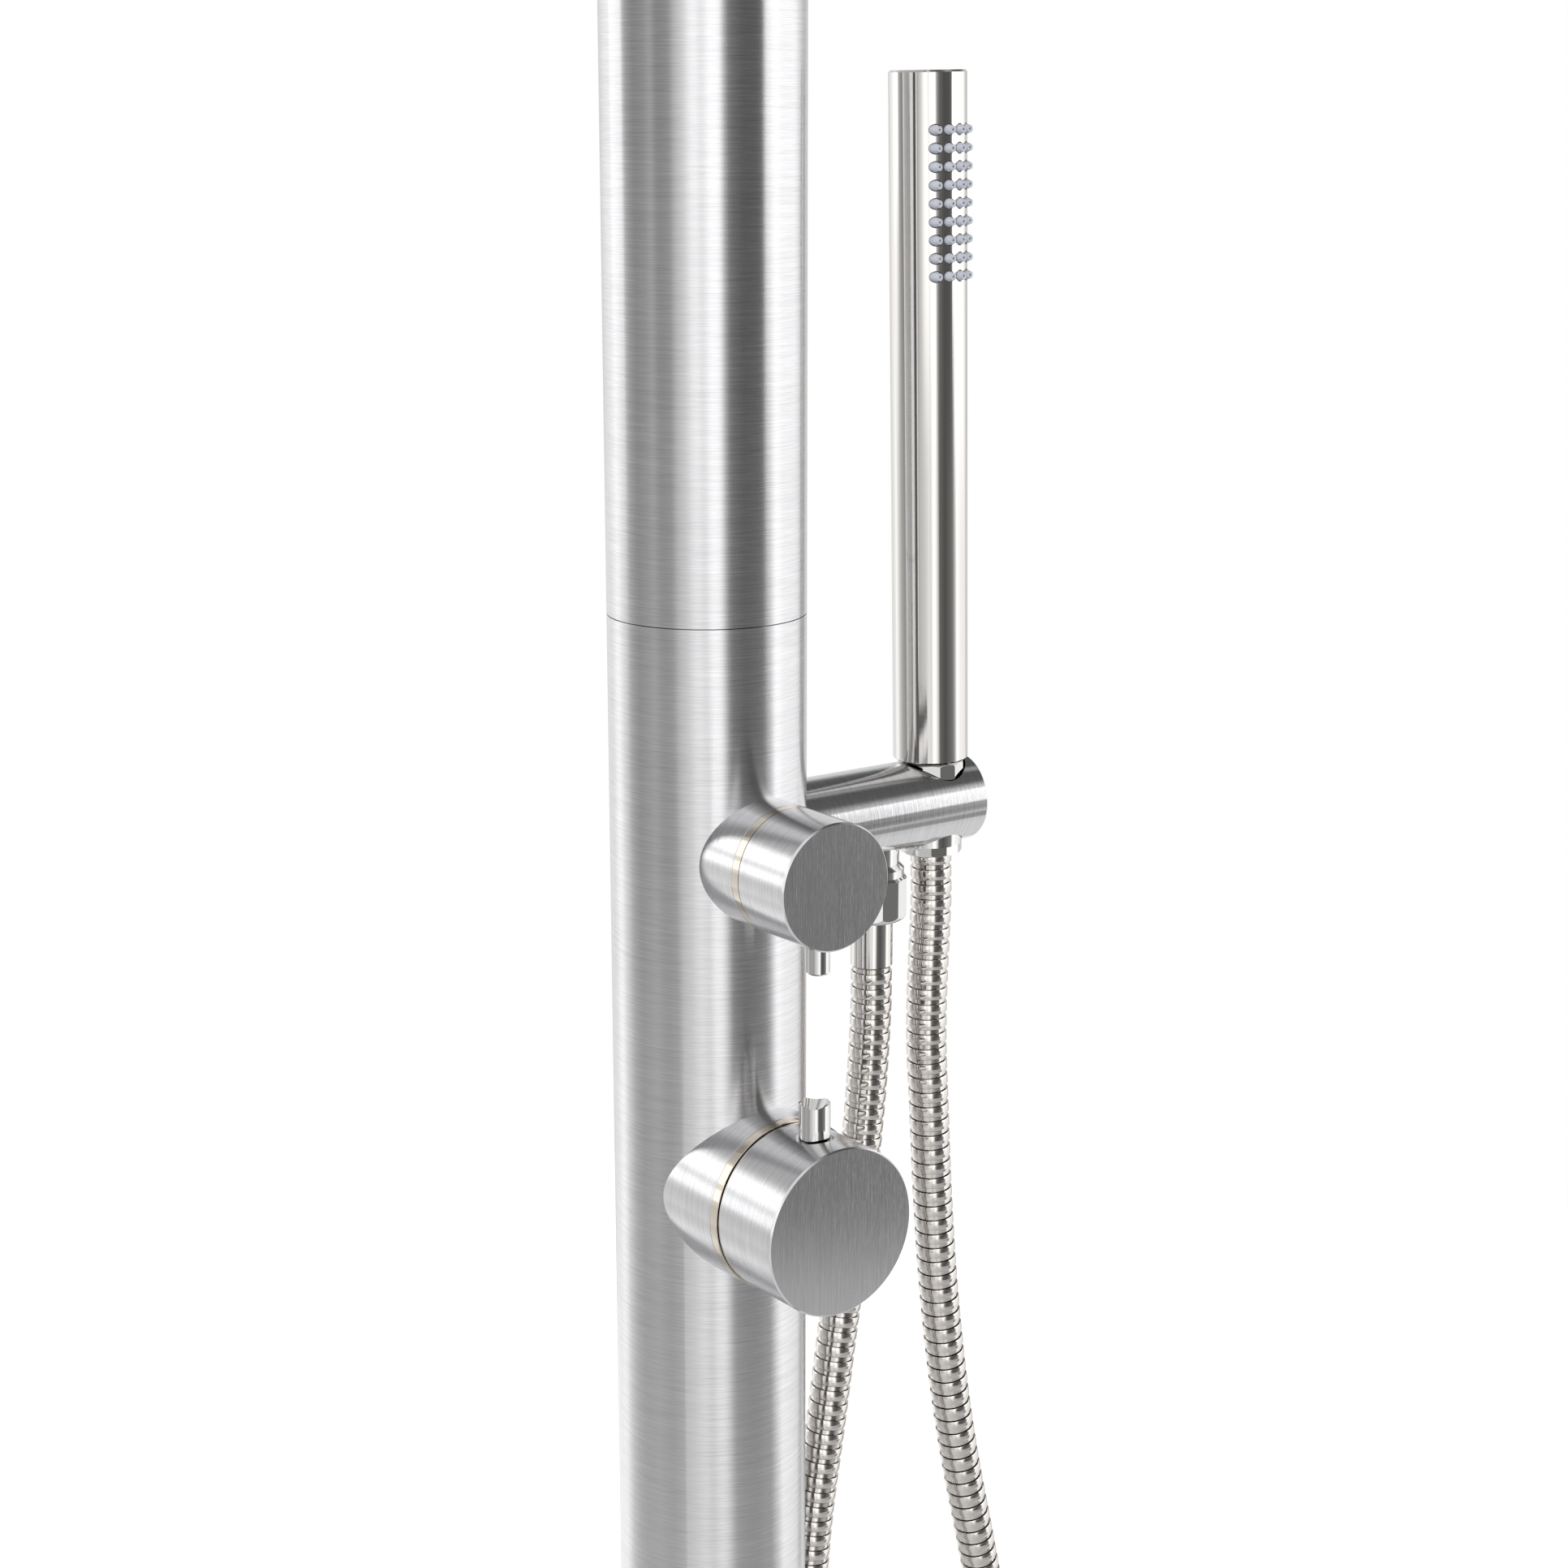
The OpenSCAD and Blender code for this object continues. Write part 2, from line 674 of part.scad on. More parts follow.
module riser_elbow() {
    color(brass) difference() {
        union() {
            translate([0, pipe_y, 0]) rod(elbow_d, over_z - elbow_low, over_z + elbow_high);
            along_front(over_z) rod(over_in - 2 * slip, 0, over_start + socket_depth);
        }
        translate([0, pipe_y, 0]) rod(riser_d + 2 * slip, over_z - elbow_low - over,
            over_z - elbow_low + socket_depth);
        translate([0, pipe_y, 0]) rod(riser_d - 2 * riser_wall, over_z - elbow_low, over_z);
        along_front(over_z) rod(over_in - 2 * elbow_wall, -pipe_y, over_start + socket_depth + over);
    }
}

module holder_arm() {
    color(steel) difference() {
        union() {
            difference() {
                along_side(arm_z) round_rod(arm_d, 0, arm_len, arm_edge);
                rod(post_d, arm_z - arm_d, arm_z + arm_d);
            }
            along_side(arm_z) rod(spigot_d, spigot_in + clear, post_r + over);
        }
        along_side(arm_z) rod(feed_d, 0, outlet_x + feed_d / 2);
        outlet_place() rod(nipple_d + 2 * slip, nipple_seat, arm_d);
        outlet_place() rod(nipple_stud_d + 2 * slip, 0, nipple_seat + over);
        handset_place() translate([0, 0, -arm_r])
            cylinder(d1 = hole_low_d, d2 = hole_top_d, h = arm_d);
        handset_place() translate([0, 0, arm_r - slip]) cylinder(d = hole_top_d, h = arm_r);
        handset_place() translate([0, 0, slip - arm_d]) cylinder(d = hole_low_d, h = arm_r);
    }
}
module outlet_nipple() {
    color(brass) outlet_place() difference() {
        union() {
            rod(nipple_stud_d, nipple_seat - nipple_stud, nipple_seat + over);
            rod(nipple_d, nipple_seat + slip, nipple_neck_low + over);
            translate([0, 0, nipple_neck_low - nipple_flare])
                cylinder(d1 = nipple_d, d2 = union_thread_d, h = nipple_flare);
            rod(union_thread_d, nipple_neck_low, nipple_low);
        }
        rod(nipple_bore, -over, nipple_low + over);
    }
}
module outlet_washer() {
    color(rubber) outlet_place() ring(union_thread_d - 2 * clear, washer_bore,
        nipple_low + face_gap, nipple_low + face_gap + washer_h);
}
module union_nut() {
    color(polished) outlet_place() difference() {
        intersection() {
            nut_rod(union_d, union_turn, union_top - over, union_low, union_round);
            translate([0, 0, union_top])
                cylinder(d1 = union_d - 2 * union_edge, d2 = union_d + 2 * union_h, h = union_edge + union_h);
        }
        rod(union_thread_d + 2 * slip, union_top - over, union_shoulder);
        rod(ferrule_d + 2 * slip, union_top - over, union_low + over);
    }
}
// A ferrule: a sleeve with a flange at its low end
module ferrule(thread_d, flange, foot) {
    difference() {
        union() {
            rod(thread_d - 2 * clear, flange, flange + flange_h);
            edged_rod(ferrule_d, flange, foot, ferrule_edge);
        }
        rod(hose_bore, flange - over, foot + over);
    }
}
module outlet_ferrule() {
    color(polished) outlet_place()
        ferrule(union_thread_d, nipple_low + washer_h + 2 * face_gap, ferrule_low);
}
module shower_hose() {
    outer = [for (i = [0 : hose_last]) each ring_at(i, hose_d / 2)];
    inner = [for (i = [0 : hose_last]) each ring_at(i, hose_bore / 2)];
    first = len(outer);
    far = hose_last * hose_sides;
    color(polished) polyhedron(concat(outer, inner), concat(
        ring_wall(0, hose_last + 1, false), ring_wall(first, hose_last + 1, true),
        end_wall(0, first, false), end_wall(far, first + far, true)));
}
module nut_ferrule() {
    color(polished) handset_place() mirror([0, 0, 1])
        ferrule(handset_thread_d, -joint_floor - flange_h, -nut_low);
}
module cone_nut() {
    color(polished) handset_place() difference() {
        union() {
            nut_rod(cone_top_d - 2 * slip, nut_turn, nut_collar_low, cone_top, cone_rim);
            translate([0, 0, cone_low])
                cylinder(d1 = cone_low_d, d2 = cone_top_d, h = nut_collar_low - cone_low);
            mirror([0, 0, 1])
                nut_rod(cone_low_d - 2 * slip, -nut_turn, -cone_low, -nut_low, nut_edge);
        }
        rod(handset_thread_d + 2 * slip, joint_floor - face_gap, cone_top + over);
        rod(ferrule_d + 2 * run, nut_low - over, cone_top);
    }
}
module cone_washer() {
    color(rubber) handset_place() ring(handset_thread_d - 2 * clear, washer_bore,
        joint_floor + flange_h + face_gap, joint_floor + flange_h + face_gap + washer_h);
}
module handset_connector() {
    color(brass) handset_place() difference() {
        union() {
            rod(handset_thread_d, connector_low, handset_foot + over);
            rod(handset_in - 2 * slip, handset_foot, handset_foot + connector_in);
        }
        rod(nipple_bore, connector_low - over, handset_foot + connector_in + over);
    }
}

module nub_places() {
    rows = [for (k = [0 : spray_rows - 1]) handset_top - spray_top - k * spray_pitch];
    for (z = rows) for (a = [-31.5 : 21 : 31.5]) rotate([0, 0, spray_turn])
        translate([handset_d / 2 * sin(a), 0, z]) rotate([90, 0, 0])
            translate([0, 0, handset_d / 2 * cos(a)]) children();
}
module handset_tube() {
    color(steel) difference() {
        handset_place() difference() {
            union() {
                translate([0, 0, handset_foot])
                    cylinder(d1 = handset_d - 2 * foot_edge, d2 = handset_d, h = foot_edge);
                rod(handset_d, handset_foot + foot_edge, handset_top - handset_cap_t);
            }
            rod(handset_in, handset_foot - over, handset_top);
        }
        handset_place() nub_places() rod(nub_base_d + 2 * nub_gap, -handset_d / 4, handset_d / 2);
    }
}
module handset_cap() {
    color(polished) handset_place() difference() {
        union() {
            edged_rod(handset_d, handset_top - handset_cap_t, handset_top, cap_dome);
            rod(handset_in - 2 * slip, handset_top - 3 * handset_cap_t, handset_top - handset_cap_t / 2);
        }
        rod(handset_in - 4 * handset_wall, handset_top - 3 * handset_cap_t - over,
            handset_top - handset_cap_t);
    }
}
module handset_nozzles() {
    mat_high = handset_top - spray_top + mat_end;
    mat_low = mat_high - (spray_rows - 1) * spray_pitch - 2 * mat_end;
    color(silicone) handset_place() difference() {
        union() {
            intersection() {
                rod(handset_in - 2 * slip, mat_low, mat_high);
                rotate([0, 0, spray_turn]) translate([-handset_d / 2, -handset_d, mat_low])
                    cube([handset_d, handset_d - mat_back, mat_high - mat_low]);
            }
            nub_places() translate([0, 0, -handset_wall - nub_gap]) rod(nub_base_d,
                -handset_wall, handset_wall + 2 * nub_gap);
            nub_places() cylinder(d1 = nub_base_d, d2 = nub_tip_d, h = spray_out);
        }
        nub_places() rod(nub_hole_d, -handset_d, spray_out + over);
    }
}

// Overhead arm: a straight length, a bend and a short drop
module overhead_arm() {
    color(steel) difference() {
        over_path(over_d, 0);
        over_path(over_in, over);
    }
}
module over_path(d, more) {
    along_front(over_z) rod(d, over_start - more, drop_front);
    translate([0, -drop_front, over_z - over_bend]) rotate([90, 0, 90]) mirror([1, 0, 0])
        rotate_extrude(angle = 90) translate([over_bend, 0]) circle(d = d);
    translate([0, -over_reach, 0]) rod(d, bend_end_z - more, over_z - over_bend);
}
module arm_collar() {
    color(polished) difference() {
        along_front(over_z) difference() {
            edged_rod(arm_collar_d, 0, arm_collar_reach, arm_edge);
            rod(over_d + 2 * slip, -over, arm_collar_reach + over);
        }
        rod(post_d, over_z - arm_collar_d, over_z + arm_collar_d);
    }
}
module ball_nipple() {
    color(polished) ball_place() difference() {
        union() {
            sphere(d = ball_d);
            rod(ball_stem_d, 0, ball_flange_z + over);
            rod(ball_flange_d, ball_flange_z, ball_flange_z + ball_flange_h);
            rod(over_in - 2 * slip, ball_flange_z, ball_flange_z + ball_flange_h + ball_plug);
        }
        rod(ball_bore, -ball_d, ball_flange_z + ball_flange_h + ball_plug + over);
    }
}
module ball_seal() {
    color(rubber) ball_place() difference() {
        rod(ball_nut_bore_d - 2 * run, seal_low, seal_top);
        sphere(d = ball_d + 2 * run);
        rod(head_neck_bore, seal_low - over, seal_top);
    }
}
module ball_nut() {
    color(polished) ball_place() difference() {
        union() {
            rod(ball_nut_d, ball_nut_low, ball_nut_top - union_edge);
            translate([0, 0, ball_nut_top - union_edge])
                cylinder(d1 = ball_nut_d, d2 = ball_nut_d - 2 * union_edge, h = union_edge);
        }
        sphere(d = ball_d + 2 * run);
        rod(ball_nut_bore_d, ball_nut_low - over, seal_top + run);
        cylinder(d1 = ball_stem_d, d2 = ball_d, h = ball_nut_top + over);
    }
}
module dome(r, low, high) {
    translate([0, 0, low]) cylinder(r1 = r, r2 = head_neck_flange_d / 2, h = high - low);
}
module head_shell() {
    dome_low = head_neck_low - head_dome_h;
    color(steel) ball_place() difference() {
        union() {
            rod(ball_nut_bore_d - 2 * slip, head_neck_low, seal_low - run);
            rod(head_neck_flange_d, head_neck_low - head_wall, head_neck_low);
            dome(head_r, dome_low, head_neck_low);
            rod(head_d, head_bottom, dome_low);
        }
        translate([0, 0, -head_wall]) dome(head_r - head_wall, dome_low, head_neck_low);
        rod(head_d - 2 * head_wall, head_bottom - over, dome_low - head_wall + slip);
        rod(head_neck_bore, head_bottom, 0);
        sphere(d = ball_d + 2 * clear);
    }
}
module head_gasket() {
    low = head_bottom + plate_t + mat_t;
    color(rubber) ball_place() ring(head_d - 2 * head_wall - 2 * slip,
        head_d - 2 * head_wall - 2 * gasket_w, low, low + gasket_h);
}
module head_nub_places() {
    for (k = [1 : head_rings]) for (j = [0 : head_ring_first + head_ring_step * (k - 1) - 1])
        rotate([0, 0, 360 * j / (head_ring_first + head_ring_step * (k - 1))])
            translate([head_d / 2 * head_ring_share * k, 0, head_bottom]) children();
}
module head_plate() {
    color(polished) ball_place() difference() {
        rod(head_d - 2 * head_wall - 2 * slip, head_bottom, head_bottom + plate_t);
        head_nub_places() rod(head_nub_d + 2 * nub_gap, -over, plate_t + over);
    }
}
module head_nozzles() {
    color(silicone) ball_place() difference() {
        union() {
            rod(head_d - 2 * head_wall - 2 * slip, head_bottom + plate_t, head_bottom + plate_t + mat_t);
            head_nub_places() rod(head_nub_d, 0, plate_t + nub_gap);
            head_nub_places() mirror([0, 0, 1])
                cylinder(d1 = head_nub_d, d2 = head_nub_tip_d, h = head_nub_out);
        }
        head_nub_places() rod(head_nub_hole, -head_nub_out - over, plate_t + mat_t + over);
    }
}

base_plate();
base_collar();
collar_screws();
lower_column();
upper_column();
column_sleeve();
sleeve_screws();
column_cap();
mixer_boss();
mixer_body();
mixer_cartridge();
mixer_spindle();
mixer_nut();
mixer_ring();
mixer_knob();
mixer_pin();
diverter_boss();
diverter_body();
diverter_cartridge();
diverter_spindle();
diverter_nut();
diverter_ring();
diverter_knob();
diverter_pin();
cold_inlet();
hot_inlet();
cold_pipe();
hot_pipe();
link_pipe();
riser_pipe();
riser_elbow();
holder_arm();
outlet_nipple();
outlet_washer();
union_nut();
outlet_ferrule();
shower_hose();
nut_ferrule();
cone_nut();
cone_washer();
handset_connector();
handset_tube();
handset_cap();
handset_nozzles();
overhead_arm();
arm_collar();
ball_nipple();
ball_seal();
ball_nut();
head_shell();
head_gasket();
head_plate();
head_nozzles();
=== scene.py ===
import math

import bpy
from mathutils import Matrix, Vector


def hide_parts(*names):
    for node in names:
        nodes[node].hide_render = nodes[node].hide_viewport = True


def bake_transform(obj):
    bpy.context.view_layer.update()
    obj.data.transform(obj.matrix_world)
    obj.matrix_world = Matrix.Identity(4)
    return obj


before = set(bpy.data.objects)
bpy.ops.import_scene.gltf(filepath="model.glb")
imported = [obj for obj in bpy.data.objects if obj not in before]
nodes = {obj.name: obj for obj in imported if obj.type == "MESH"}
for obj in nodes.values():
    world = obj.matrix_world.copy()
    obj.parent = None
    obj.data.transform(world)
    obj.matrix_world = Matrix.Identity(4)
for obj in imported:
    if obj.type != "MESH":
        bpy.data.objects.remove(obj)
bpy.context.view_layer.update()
MM = 0.001


# Camera: where the photograph was taken from
CAMERA_PLACE = (-0.47505, -0.68916, 1.32287)
CAMERA_TURN = math.radians(36.16)
CAMERA_DIP = math.radians(13.76)
CAMERA_LENS = 65.126
SENSOR_WIDTH = 36
camera = bpy.data.objects.new("camera", bpy.data.cameras.new("camera"))
bpy.context.scene.collection.objects.link(camera)
camera.location = CAMERA_PLACE
ahead = Vector((math.sin(CAMERA_TURN) * math.cos(CAMERA_DIP),
                math.cos(CAMERA_TURN) * math.cos(CAMERA_DIP), -math.sin(CAMERA_DIP)))
camera.rotation_mode = "QUATERNION"
camera.rotation_quaternion = ahead.to_track_quat("-Z", "Y")
camera.data.lens = CAMERA_LENS
camera.data.sensor_width = SENSOR_WIDTH
bpy.context.scene.camera = camera
bpy.context.scene.view_settings.view_transform = "Standard"


def new_piece(name, points, faces, slot):
    mesh = bpy.data.meshes.new(name)
    mesh.from_pydata(points, [], faces)
    piece = bpy.data.objects.new(name, mesh)
    bpy.context.scene.collection.objects.link(piece)
    return piece


# Metal hose: interlocked rings on a smooth line through the points of the CAD hose, in mm
HOSE_ROUTE = [
    (63.5, 0, 1049), (63.5, 0, 1042), (63.4, 0, 1034), (62.3, 0, 1015), (60.5, 0, 995), (56.5, 0, 962),
    (51, 0, 929), (46, 0, 895), (41, 0, 863), (38.4, 0, 835), (37.8, 1, 795), (37.7, 3, 735),
    (37.6, 5, 675), (37.5, 7, 615), (37.3, 8.6, 555), (36.8, 9.6, 503), (36.5, 10, 456),
    (36.4, 10, 427), (36.4, 10, 411), (38.4, 10, 395.9), (44.2, 10, 381.9), (53.4, 10, 369.8),
    (65.5, 10, 360.6), (79.5, 10, 354.8), (94.6, 10, 352.8), (109.7, 10, 354.8), (123.7, 10, 360.6),
    (135.8, 10, 369.8), (145, 10, 381.9), (150.8, 10, 395.9), (152.8, 10, 411), (152.8, 10, 427),
    (152.8, 9.6, 456), (152.6, 8.8, 503), (151.3, 7.5, 555), (147.8, 6, 615), (141, 4.2, 675),
    (132, 2, 735), (121, 1, 790), (111.5, 0, 830), (103.5, 0, 865), (97.5, 0, 898), (93, 0, 932),
    (90, 0, 965), (87.8, 0, 1000), (86.7, 0, 1018), (86.7, 0, 1036), (87.4, 0, 1054), (87.89, 0, 1067),
    (87.72, 0, 1075.25), (87.55, 0, 1083.25)]
HOSE_STEPS = 12
HOSE_DIAMETER = 0.0134
HOSE_RINGS = 296
HOSE_SIDES = 24
HOSE_CREASE = math.radians(50)
# How far the hose's two cut ends are turned in, as a share of the radius
HOSE_END_SHARE = 0.7
# One ring of the hose: its share of the ring's length and its radius there, in mm
RING_PROFILE = [
    (0.0, 5.50), (0.045, 5.50), (0.05, 6.14), (0.29, 6.16), (0.295, 5.60), (0.34, 5.60), (0.345, 6.62),
    (0.38, 6.70), (0.93, 6.70), (0.985, 6.56)]


def spline_points(route, steps):
    """Points of a smooth line through the route."""
    points = []
    last = len(route) - 1
    for i in range(last):
        a, b, c, d = (route[j] for j in (max(i - 1, 0), i, i + 1, min(i + 2, last)))
        for k in range(steps):
            t = k / steps
            points.append(0.5 * (2 * b + (c - a) * t + (2 * a - 5 * b + 4 * c - d) * t * t
                                 + (3 * b - a - 3 * c + d) * t * t * t))
    return points + [route[last]]


class Route:
    """A line of points that is followed by its running length."""

    def __init__(self, points):
        self.points = points
        self.run = [0.0]
        for a, b in zip(points, points[1:]):
            self.run.append(self.run[-1] + (b - a).length)
        self.length = self.run[-1]

    def place(self, at):
        at = min(max(at, 0.0), self.length)
        low, high = 0, len(self.run) - 1
        while high - low > 1:
            middle = (low + high) // 2
            low, high = (middle, high) if self.run[middle] <= at else (low, middle)
        share = (at - self.run[low]) / (self.run[high] - self.run[low])
        return self.points[low].lerp(self.points[high], share)

    def heading(self, at, reach):
        return (self.place(at + reach) - self.place(at - reach)).normalized()


def ring_stations(length):
    """Places along the hose with the radius at each: all rings, between two turned-in ends."""
    ring_length = length / HOSE_RINGS
    foot, rim = RING_PROFILE[0][1], RING_PROFILE[-1][1]
    stations = [(0.0, rim * HOSE_END_SHARE)]
    for ring in range(HOSE_RINGS):
        stations += [((ring + share) * ring_length, radius) for share, radius in RING_PROFILE]
    return stations + [(length, foot), (length, foot * HOSE_END_SHARE)]


def hose_mesh(route):
    """Circles of points square to the route, and the faces that join and close them."""
    points, faces = [], []
    stations = ring_stations(route.length)
    side = Vector((0, 1, 0))
    for at, radius in stations:
        centre, heading = route.place(at), route.heading(at, HOSE_DIAMETER / 4)
        across = side.cross(heading).normalized()
        side = heading.cross(across)
        for j in range(HOSE_SIDES):
            turn = 2 * math.pi * j / HOSE_SIDES
            points.append(centre + (across * math.cos(turn) + side * math.sin(turn)) * radius * MM)
    last_circle = (len(stations) - 1) * HOSE_SIDES
    for circle in range(0, last_circle, HOSE_SIDES):
        for j in range(HOSE_SIDES):
            a, b = circle + j, circle + (j + 1) % HOSE_SIDES
            faces.append((a, b, b + HOSE_SIDES, a + HOSE_SIDES))
    faces.append(tuple(reversed(range(HOSE_SIDES))))
    faces.append(tuple(last_circle + j for j in range(HOSE_SIDES)))
    return points, faces


hose_route = Route(spline_points([Vector(p) * MM for p in HOSE_ROUTE], HOSE_STEPS))
hose = new_piece("metal_hose", *hose_mesh(hose_route), "polished_steel")
hose.data.shade_smooth()
bpy.ops.object.select_all(action="DESELECT")
hose.select_set(True)
bpy.context.view_layer.objects.active = hose
bpy.ops.object.shade_smooth_by_angle(angle=HOSE_CREASE)
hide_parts("shower_hose")
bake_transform(hose)


# Shaders
class Link:
    """One output of a shader's nodes. Arithmetic on it adds Math nodes."""

    def __init__(self, shader, socket):
        self.shader, self.socket = shader, socket

    def maths(self, operation, *values):
        return self.shader.add("Math", {"operation": operation}, (self, *values))

    def __add__(self, other):
        return self.maths("ADD", other)

    def __sub__(self, other):
        return self.maths("SUBTRACT", other)

    def __mul__(self, other):
        return self.maths("MULTIPLY", other)

    def __truediv__(self, other):
        return self.maths("DIVIDE", other)

    def absolute(self):
        return self.maths("ABSOLUTE")

    def above(self, low, high):
        """0 below low, 1 above high, smooth between."""
        return self.shader.add("MapRange", {"interpolation_type": "SMOOTHSTEP"}, (self, low, high, 0.0, 1.0))


class Shader:
    """The nodes of a material or of the world."""

    def __init__(self, owner):
        owner.use_nodes = True
        self.tree = owner.node_tree
        self.tree.nodes.clear()

    def add(self, kind, settings=None, inputs=(), output=0):
        node = self.tree.nodes.new("ShaderNode" + kind)
        for name, value in (settings or {}).items():
            if name == "stops":
                ramp = node.color_ramp
                while len(ramp.elements) < len(value):
                    ramp.elements.new(0.5)
                for element, (place, colour) in zip(ramp.elements, value):
                    element.position = place
                for element, (place, colour) in zip(ramp.elements, value):
                    element.color = (*colour, 1)
            else:
                setattr(node, name, value)
        pairs = inputs.items() if isinstance(inputs, dict) else enumerate(inputs)
        for key, value in pairs:
            if isinstance(value, Link):
                self.tree.links.new(value.socket, node.inputs[key])
            else:
                node.inputs[key].default_value = value
        return Link(self, node.outputs[output])

    def mix(self, share, first, second):
        """A number between two numbers."""
        return self.add("Mix", None, {0: share, 2: first, 3: second})

    def blend(self, share, first, second):
        """A colour between two colours."""
        colours = [(*c, 1) if isinstance(c, tuple) else c for c in (first, second)]
        return self.add("Mix", {"data_type": "RGBA"}, {0: share, 6: colours[0], 7: colours[1]}, 2)

    def axes(self, vector):
        """The three numbers of a vector."""
        parts = self.add("SeparateXYZ", None, (vector,)).socket.node.outputs
        return [Link(self, part) for part in parts]

    def stretched(self, vector, scale):
        return self.add("Mapping", None, {"Vector": vector, "Scale": scale})

    def noise(self, vector, scale, detail=2.0, roughness=0.5):
        return self.add("TexNoise", None, {"Vector": vector, "Scale": scale, "Detail": detail,
                                           "Roughness": roughness})

    def close(self, shader, kind="OutputMaterial"):
        out = self.tree.nodes.new("ShaderNode" + kind)
        self.tree.links.new(shader.socket, out.inputs["Surface"])


def shaded(tone, share):
    """A lighter or a darker shade of a colour."""
    return tuple(min(c * share, 1) for c in tone)


# Studio that the steel reflects: a pale room with grey walls at the sides and a dark ceiling. Its brightness
# runs round the post in degrees from the camera's own side, at five heights: level, dipping, low, down, high.
CAMERA_SIDE = (-math.sin(CAMERA_TURN), -math.cos(CAMERA_TURN))
LEVEL = [
    (-180, 0.80), (-160, 0.78), (-135, 1.15), (-112, 1.30), (-103, 0.85), (-92, 0.42), (-82, 0.29),
    (-68, 0.34), (-59, 0.50), (-52, 0.28), (-37, 0.33), (-31, 0.62), (-21, 0.95), (-13, 1.48), (-7, 1.50),
    (-2, 1.20), (8, 1.60), (18, 1.60), (23, 0.46), (31, 0.18), (45, 0.10), (63, 0.11), (73, 0.22),
    (78, 0.80), (83, 1.65), (96, 1.45), (122, 1.40), (135, 0.95), (148, 0.62), (165, 0.70), (180, 0.80)]
DIPPING = [
    (-180, 0.80), (-140, 0.98), (-123, 1.35), (-110, 0.88), (-98, 0.55), (-84, 0.38), (-64, 0.50),
    (-46, 0.40), (-38, 0.44), (-31, 0.66), (-18, 0.76), (-6, 1.05), (1, 0.92), (8, 1.42),
    (15, 1.38), (22, 0.85), (28, 0.17), (45, 0.10), (62, 0.18), (72, 0.26), (80, 0.62),
    (89, 1.55), (100, 1.25), (128, 1.12), (142, 0.72), (180, 0.80)]
LOW = [
    (-180, 1.20), (-128, 1.20), (-114, 0.78), (-100, 0.64), (-80, 0.57), (-46, 0.52), (-38, 0.56),
    (-32, 0.78), (-8, 0.92), (4, 0.70), (16, 0.90), (26, 0.76), (34, 0.58), (60, 0.50),
    (76, 0.56), (84, 0.74), (92, 1.25), (112, 1.18), (140, 0.90), (180, 0.95)]
DOWN = [
    (-180, 0.50), (-150, 0.56), (-122, 0.70), (-100, 0.66), (-60, 0.62), (-20, 0.80), (40, 0.60),
    (80, 0.60), (96, 0.85), (145, 0.84), (172, 0.72), (180, 0.60)]
HIGH = [
    (-180, 0.22), (-166, 0.24), (-156, 0.80), (-148, 0.95), (-138, 0.62), (-122, 0.52), (-60, 0.50),
    (-25, 0.95), (22, 0.95), (58, 0.35), (76, 0.14), (108, 0.11), (113, 0.42), (121, 0.42),
    (128, 0.12), (165, 0.12), (180, 0.22)]
# Between which heights one band passes into the next, as the upward part of a direction
DIPPING_TO_LEVEL = (-0.155, -0.095)
LOW_TO_DIPPING = (-0.43, -0.36)
DOWN_TO_LOW = (-0.66, -0.56)
LEVEL_TO_HIGH = (0.30, 0.58)
# Panels in the room, each with its sides in degrees, its heights and its brightness
PANELS = {
    "right_soft_box": ((72, 92), (-0.08, 0.36), 1.62),
    "left_soft_box": ((-124, -100), (-0.06, 0.46), 1.62),
    "bar_across_left_box": ((-124, -100), (0.11, 0.20), 1.05),
    "dark_flag": ((68, 79), (-0.39, -0.235), 0.24),
    "low_flag": ((76, 98), (-0.60, -0.46), 0.36)}
PANEL_EDGE = 2.0
PANEL_HEIGHT_EDGE = 0.02
BRIGHTEST = 1.7
LIGHT_MAP_SIZE = 1024


def grey(level):
    return (level / BRIGHTEST,) * 3


def room_band(room, place, levels):
    stops = [((angle + 180) / 360, grey(level)) for angle, level in levels]
    return room.add("ValToRGB", {"stops": stops}, (place,))


def between(value, limits, edge):
    """1 between the limits, 0 outside them, with soft edges."""
    low, high = limits
    return value.above(low - edge, low + edge) - value.above(high - edge, high + edge)


world = bpy.data.worlds.new("studio")
bpy.context.scene.world = world
room = Shader(world)
x, y, z = room.axes(room.add("TexCoord", output="Generated"))
front = x * CAMERA_SIDE[0] + y * CAMERA_SIDE[1]
right = y * CAMERA_SIDE[0] - x * CAMERA_SIDE[1]
degrees = right.maths("ARCTAN2", front) * (180 / math.pi)
place = degrees / 360 + 0.5
level, dipping, low, down, high = (room_band(room, place, levels)
                                   for levels in (LEVEL, DIPPING, LOW, DOWN, HIGH))
light = room.blend(z.above(*DIPPING_TO_LEVEL), dipping, level)
light = room.blend(z.above(*LOW_TO_DIPPING), low, light)
light = room.blend(z.above(*DOWN_TO_LOW), down, light)
light = room.blend(z.above(*LEVEL_TO_HIGH), light, high)
for sides, heights, brightness in PANELS.values():
    inside = between(degrees, sides, PANEL_EDGE) * between(z, heights, PANEL_HEIGHT_EDGE)
    light = room.blend(inside, light, grey(brightness))
seen = room.add("LightPath", output="Is Camera Ray")
sky = room.add("Background", None, {"Color": light, "Strength": BRIGHTEST})
white = room.add("Background", None, {"Color": (1, 1, 1, 1), "Strength": 1.0})
room.close(room.add("MixShader", None, {0: seen, 1: sky, 2: white}), "OutputWorld")
world.cycles.sampling_method = "MANUAL"
world.cycles.sample_map_resolution = LIGHT_MAP_SIZE


